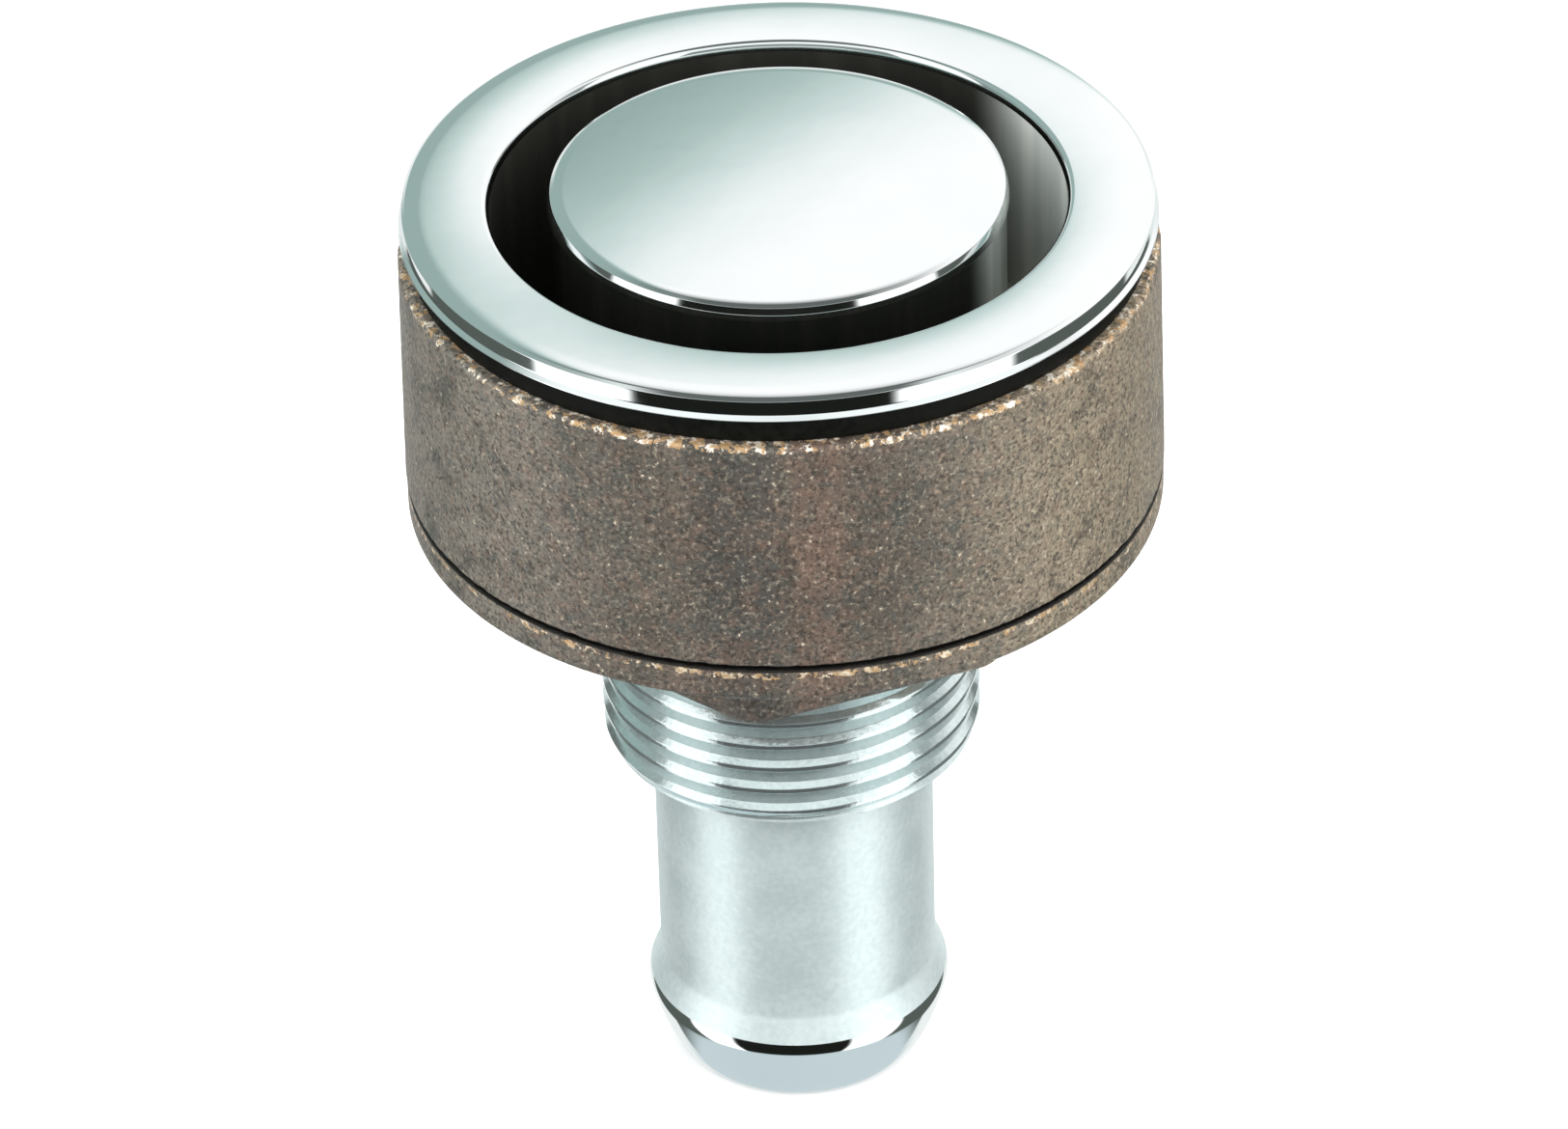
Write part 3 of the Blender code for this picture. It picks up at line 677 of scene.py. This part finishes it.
def bronze(name, edges, joint, rub_and_highlight):
    """Sand-cast bronze, oxidised brown-grey and grainy, with painted light and shade: lighter sides, a
    darker front and bright glints.

    Its edges get a lighter colour, partly worn and partly a painted highlight, and it is darkened at the
    joint as painted shade in the gap, both given as (z, reach).
    """
    made, tree, shader = material(name)
    height = add(tree, "ShaderNodeSeparateXYZ", {"Vector": coordinates(tree)}).outputs["Z"]

    def close_to(z, reach, core):
        """1 within core * reach of a height, falling to 0 at reach."""
        away = maths(tree, "ABSOLUTE", maths(tree, "SUBTRACT", height, (TOP + z) * MM))
        return levels(tree, away, core * reach * MM, reach * MM, 1.0, 0.0)

    cloud = grain(tree, 70.0, 3.0, 0.55)
    blotch = grain(tree, 150.0, 4.0, 0.62)
    patch = grain(tree, 420.0, 4.0, 0.65)
    sand = grain(tree, 1300.0, 3.0, 0.7)
    pits = grain(tree, 2700.0, 1.5, 0.6)
    grit = grain(tree, 2500.0, 2.0, 0.6)
    stain = grain(tree, 1000.0, 2.0, 0.6)
    colour = mixed(tree, levels(tree, cloud, 0.35, 0.65), (0.108, 0.090, 0.072), (0.160, 0.138, 0.112))
    # Painted shade: a darker column down the front, facing the dark front of the room.
    shade = levels(tree, bearing(tree, -7.5), 4.0, 9.0, 0.8, 0.0)
    colour = mixed(tree, shade, colour, (0.086, 0.078, 0.070))
    red = levels(tree, bearing(tree, 4.2), 2.6, 4.6, 0.75, 0.0)
    red = maths(tree, "ADD", red, levels(tree, blotch, 0.52, 0.66, 0.0, 0.4))
    colour = mixed(tree, red, colour, (0.182, 0.124, 0.096))
    # Painted light: the right side is lighter and more golden, and the left side paler, where the softboxes
    # light them.
    painted_light_right = levels(tree, bearing(tree, 60.0), 10.0, 46.0, 1.0, 0.0)
    colour = mixed(tree, maths(tree, "MULTIPLY", painted_light_right, 0.8), colour, (0.370, 0.305, 0.215))
    pale = levels(tree, bearing(tree, -66.0), 12.0, 44.0, 0.75, 0.0)
    colour = mixed(tree, pale, colour, (0.300, 0.275, 0.235))
    colour = mixed(tree, levels(tree, blotch, 0.30, 0.46, 0.75, 0.0), colour, (0.082, 0.086, 0.074))
    colour = mixed(tree, levels(tree, patch, 0.36, 0.50, 0.5, 0.0), colour, (0.075, 0.066, 0.056))
    colour = mixed(tree, levels(tree, stain, 0.54, 0.66, 0.0, 0.4), colour, (0.215, 0.135, 0.098))
    colour = mixed(tree, levels(tree, stain, 0.34, 0.46, 0.4, 0.0), colour, (0.080, 0.098, 0.092))
    colour = mixed(tree, levels(tree, sand, 0.30, 0.46, 0.6, 0.0), colour, (0.038, 0.033, 0.027))
    colour = mixed(tree, levels(tree, pits, 0.34, 0.50, 0.7, 0.0), colour, (0.045, 0.038, 0.031))
    # Painted glints: bright grains, more of them on the lit right side, and a few brighter specks.
    painted_glint = maths(tree, "ADD", maths(tree, "MULTIPLY", painted_light_right, 0.2), 0.24)
    painted_glint = maths(tree, "MULTIPLY", levels(tree, grit, 0.50, 0.68), painted_glint)
    colour = mixed(tree, painted_glint, colour, (0.62, 0.52, 0.39))
    colour = mixed(tree, levels(tree, grit, 0.69, 0.75, 0.0, 0.8), colour, (0.85, 0.76, 0.60))
    # The worn edge bands are partly wear and partly a painted highlight line, made stronger towards the
    # front.
    worn = 0.0
    for z, reach in edges:
        worn = maths(tree, "MAXIMUM", close_to(z, reach, 0.1), worn)
    chips = levels(tree, grain(tree, 900.0, 4.0, 0.7), 0.40, 0.64, 0.0, 1.25)
    facing = levels(tree, bearing(tree, 8.0), 30.0, 75.0, 1.0, 0.75)
    rubbed_and_highlight = levels(tree, maths(tree, "MULTIPLY", maths(tree, "MULTIPLY", worn, chips), facing), 0.46, 0.62)
    tint = mixed(tree, levels(tree, sand, 0.45, 0.62), (0.48, 0.31, 0.16), rub_and_highlight)
    colour = mixed(tree, rubbed_and_highlight, colour, tint)
    # Painted shade: near-black in the gap where the spacer meets the nut plate.
    colour = mixed(tree, close_to(*joint, 0.5), colour, (0.012, 0.011, 0.009))
    tree.links.new(colour, shader.inputs["Base Color"])
    dull = levels(tree, patch, 0.3, 0.7, 0.42, 0.58)
    rough = add(tree, "ShaderNodeMix", {0: rubbed_and_highlight, 2: dull, 3: 0.3}, data_type="FLOAT").outputs[0]
    tree.links.new(rough, shader.inputs["Roughness"])
    shader.inputs["Metallic"].default_value = 0.35
    relief = maths(tree, "ADD", maths(tree, "MULTIPLY", sand, 1.2), maths(tree, "MULTIPLY", pits, 0.6))
    relief = maths(tree, "ADD", relief, maths(tree, "MULTIPLY", patch, 1.5))
    bump = add(tree, "ShaderNodeBump", {"Height": relief, "Strength": 0.7, "Distance": 0.00022})
    tree.links.new(bump.outputs["Normal"], shader.inputs["Normal"])
    return made


def rubber(name):
    """Black rubber with a faint moulded grain."""
    made, tree, shader = material(name)
    fine = grain(tree, 1500.0, 3.0)
    colour = mixed(tree, levels(tree, fine, 0.3, 0.7), (0.003, 0.0035, 0.003), (0.006, 0.0065, 0.005))
    tree.links.new(colour, shader.inputs["Base Color"])
    tree.links.new(levels(tree, fine, 0.3, 0.7, 0.5, 0.65), shader.inputs["Roughness"])
    shader.inputs["Specular IOR Level"].default_value = 0.1
    bump = add(tree, "ShaderNodeBump", {"Height": fine, "Strength": 0.3, "Distance": 0.00005})
    tree.links.new(bump.outputs["Normal"], shader.inputs["Normal"])
    return made


def turned_metal(name, dark, light, rough):
    """Bright metal with the fine rings that turning leaves."""
    made, tree, shader = material(name)
    rings = grain(tree, 2500.0, 2.0, 0.5, stretch=(0.05, 0.05, 1.0))
    stain = grain(tree, 180.0, 3.0)
    colour = mixed(tree, levels(tree, stain, 0.3, 0.7), dark, light)
    tree.links.new(colour, shader.inputs["Base Color"])
    tree.links.new(levels(tree, rings, 0.3, 0.7, rough, rough + 0.12), shader.inputs["Roughness"])
    shader.inputs["Metallic"].default_value = 1.0
    bump = add(tree, "ShaderNodeBump", {"Height": rings, "Strength": 0.15, "Distance": 0.00005})
    tree.links.new(bump.outputs["Normal"], shader.inputs["Normal"])
    return made


def moulded_plastic(name):
    """Off-white moulded plastic of the float."""
    made, tree, shader = material(name)
    fine = grain(tree, 1200.0, 2.0)
    cloud = grain(tree, 120.0, 2.0)
    colour = mixed(tree, levels(tree, cloud, 0.3, 0.7), (0.66, 0.64, 0.58), (0.74, 0.72, 0.66))
    tree.links.new(colour, shader.inputs["Base Color"])
    tree.links.new(levels(tree, fine, 0.3, 0.7, 0.38, 0.5), shader.inputs["Roughness"])
    bump = add(tree, "ShaderNodeBump", {"Height": fine, "Strength": 0.1, "Distance": 0.00005})
    tree.links.new(bump.outputs["Normal"], shader.inputs["Normal"])
    return made


def dress_inner_pieces():
    """Gives every model node that stays visible a material of its slot."""
    looks = {
        "machined_brass": turned_metal("turned_brass", (0.52, 0.36, 0.15), (0.66, 0.50, 0.24), 0.22),
        "stainless_steel": turned_metal("plain_steel", (0.42, 0.42, 0.40), (0.56, 0.56, 0.54), 0.2),
        "black_rubber": rubber("seal_rubber"),
        "float_plastic": moulded_plastic("float_plastic"),
        "chrome_plate": chrome("inner_chrome"),
        "cast_bronze": bronze("inner_bronze", [], (0.0, 0.1), BARE_BRONZE_AND_GLINT),
    }
    slots = {entry["node"]: entry["material_slot"] for entry in frame["record"]["subparts"]}
    for name, obj in frame["nodes"].items():
        obj.data.materials.clear()
        obj.data.materials.append(looks[slots[name]])


# ---------------------------------------------------------------------------
# Studio
# ---------------------------------------------------------------------------

def ramp(tree, value, stops):
    """A colour ramp with (position, (r, g, b)) stops."""
    item = add(tree, "ShaderNodeValToRGB", {"Fac": value})
    item.color_ramp.interpolation = "LINEAR"
    elements = item.color_ramp.elements
    while len(elements) > 1:
        elements.remove(elements[-1])
    elements[0].position = stops[0][0]
    elements[0].color = (*stops[0][1], 1.0)
    for position, colour in stops[1:]:
        elements.new(position).color = (*colour, 1.0)
    return item.outputs["Color"]


def round_the_room(*bands):
    """Ramp stops for one height of the room from (start in degrees, colour) bands with soft edges.

    0 degrees is the front of the room, where the viewer stands, and positive is to the right.
    """
    stops = []
    soft = 1.5 / 360
    for (start, colour), (end, _) in zip(bands, [*bands[1:], (180, None)]):
        stops.append((max(0.0, (start + 180) / 360 + soft), colour))
        stops.append((min(1.0, (end + 180) / 360 - soft), colour))
    return stops


BLACK = (0.012, 0.013, 0.011)
SHADE = (0.10, 0.115, 0.105)
WALL = (0.30, 0.33, 0.33)
NADIR = (0.60, 0.69, 0.72)
SOFTBOX = (1.5, 1.5, 1.5)
BACK_LOW = (0.90, 0.93, 0.92)
TOP_LIGHT = (1.05, 1.08, 1.08)
CEILING = (0.13, 0.145, 0.14)
SKY_STEPS = [
    (0.0, (0.34, 0.45, 0.43)),
    (0.22, (0.46, 0.58, 0.55)),
    (0.40, (0.70, 0.80, 0.78)),
    (0.55, (0.95, 0.98, 0.98)),
    (0.80, (1.12, 1.10, 1.10)),
]


def room_band(sides, front):
    """One height of the room: bright back, softboxes at the left and right, and walls between them."""
    return round_the_room(
        (-180, BACK_LOW),
        (-138, sides),
        (-84, SOFTBOX),
        (-49, front),
        (36, SOFTBOX),
        (77, sides),
        (135, BACK_LOW),
    )


def studio_world():
    """A room for reflections.

    It has a light sky at the back and right, a dark front low down, two tall softboxes, and a light
    above the viewer with the dark ceiling behind it.
    """
    world = bpy.data.worlds.new("studio")
    bpy.context.scene.world = world
    world.use_nodes = True
    tree = world.node_tree
    direction = add(tree, "ShaderNodeTexCoord").outputs["Generated"]
    axes = add(tree, "ShaderNodeSeparateXYZ", {"Vector": direction}).outputs
    forward = maths(tree, "MULTIPLY", axes["Y"], -1.0)
    from_front = maths(tree, "MULTIPLY", maths(tree, "ARCTAN2", axes["X"], forward), DEGREES)
    from_back = maths(tree, "MULTIPLY", maths(tree, "ARCTAN2", axes["X"], axes["Y"]), DEGREES)
    share = maths(tree, "ADD", maths(tree, "DIVIDE", from_front, 360.0), 0.5)
    rise = maths(tree, "MULTIPLY", maths(tree, "ARCSINE", axes["Z"]), DEGREES)
    low_band = ramp(tree, share, room_band(SHADE, BLACK))
    slope = maths(tree, "ADD", maths(tree, "DIVIDE", from_back, 5.5),
                  maths(tree, "DIVIDE", maths(tree, "SUBTRACT", rise, 32.0), 7.0))
    sky = ramp(tree, levels(tree, slope, -1.1, 0.9, kind="LINEAR"), SKY_STEPS)
    behind = levels(tree, maths(tree, "ABSOLUTE", from_back), 70.0, 100.0, 1.0, 0.0)
    high_band = ramp(tree, share, room_band(WALL, WALL))
    front = mixed(tree, levels(tree, rise, 10.0, 24.0), low_band, high_band)
    front = mixed(tree, levels(tree, rise, 38.0, 44.0), front, TOP_LIGHT)
    lower = mixed(tree, levels(tree, rise, -56.0, -48.0), NADIR, low_band)
    back = mixed(tree, levels(tree, rise, 4.0, 14.0), lower, sky)
    front = mixed(tree, levels(tree, rise, -40.0, -30.0), lower, front)
    room = mixed(tree, behind, front, back)
    back_dim = levels(tree, rise, 44.0, 72.0)
    front_dim = levels(tree, rise, 64.0, 72.0)
    dim = add(tree, "ShaderNodeMix", {0: behind, 2: front_dim, 3: back_dim}, data_type="FLOAT").outputs[0]
    room = mixed(tree, dim, room, CEILING)
    seen = add(tree, "ShaderNodeLightPath").outputs["Is Camera Ray"]
    tree.links.new(mixed(tree, seen, room, (1.0, 1.0, 1.0)), tree.nodes["Background"].inputs["Color"])


def studio_lamps():
    """Large soft lamps all round, which light the object without being mirrored in it."""
    centre = Vector((0, 0, (BODY_LOW.z + BODY_HIGH.z) / 2))
    for name, side, rise, watts in (
        ("front", 0, 30, 8.0), ("left", -55, 35, 6.0), ("right", 55, 35, 6.0), ("back", 180, 50, 7.0)
    ):
        angle = math.radians(side)
        lift = math.radians(rise)
        away = Vector((math.sin(angle) * math.cos(lift), -math.cos(angle) * math.cos(lift), math.sin(lift)))
        data = bpy.data.lights.new(name, "AREA")
        data.shape = "DISK"
        data.size = 1.1
        data.energy = watts
        lamp = bpy.data.objects.new(name, data)
        lamp.location = centre + away
        lamp.rotation_mode = "QUATERNION"
        lamp.rotation_quaternion = away.to_track_quat("Z", "Y")
        lamp.visible_glossy = False
        lamp.visible_camera = False
        bpy.context.scene.collection.objects.link(lamp)


def studio_floor():
    """A pale floor that the object stands on. Chrome mirrors the room and not this plane."""
    surface = bpy.data.meshes.new("floor")
    half = 3.0
    corners = [(-half, -half, 0), (half, -half, 0), (half, half, 0), (-half, half, 0)]
    surface.from_pydata(corners, [], [(0, 1, 2, 3)])
    floor = bpy.data.objects.new("floor", surface)
    floor.location.z = BODY_LOW.z
    bpy.context.scene.collection.objects.link(floor)
    made, tree, shader = material("floor_paper")
    tone = levels(tree, grain(tree, 40.0, 2.0), 0.3, 0.7)
    tree.links.new(mixed(tree, tone, (0.94, 0.94, 0.94), (0.96, 0.96, 0.96)), shader.inputs["Base Color"])
    shader.inputs["Roughness"].default_value = 0.9
    shader.inputs["Specular IOR Level"].default_value = 0.0
    surface.materials.append(made)
    floor.visible_glossy = False
    floor.visible_shadow = False
    floor.visible_diffuse = False


CAMERA_RISE = math.radians(34.54)
CAMERA_ROLL = math.radians(1.59)
CAMERA_DISTANCE = 0.700
CAMERA_AIM = Vector((-0.35, -17.95, -26.08))
CAMERA_LENS = 189.7


def studio_camera():
    """A long lens from the front and above, rolled a little."""
    data = bpy.data.cameras.new("camera")
    data.sensor_width = 36.0
    data.lens = CAMERA_LENS
    data.clip_end = 20.0
    camera = bpy.data.objects.new("camera", data)
    aim = Vector((0, 0, BODY_HIGH.z)) + CAMERA_AIM * MM
    back = Vector((0, -math.cos(CAMERA_RISE), math.sin(CAMERA_RISE)))
    camera.location = aim + back * CAMERA_DISTANCE
    turn = back.to_track_quat("Z", "Y").to_matrix().to_4x4()
    roll = Matrix.Rotation(-CAMERA_ROLL, 4, "Z")
    camera.matrix_world = Matrix.Translation(camera.location) @ turn @ roll
    bpy.context.scene.collection.objects.link(camera)
    bpy.context.scene.camera = camera


# ---------------------------------------------------------------------------
# Assembly
# ---------------------------------------------------------------------------

def assemble(obj, node, body):
    """Puts a piece in its node's stead and on its body."""
    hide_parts(node)
    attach(obj, body)


dress_inner_pieces()
assemble(vent_body(), "vent_body", "vent")
assemble(cap(), "deflector_cap", "vent")
assemble(gasket(), "flange_gasket", "vent")
assemble(spacer(), "clamp_spacer", "clamp_ring")
assemble(nut(), "flange_nut", "nut")
studio_world()
studio_lamps()
studio_floor()
studio_camera()
bpy.context.scene.view_settings.view_transform = "Standard"
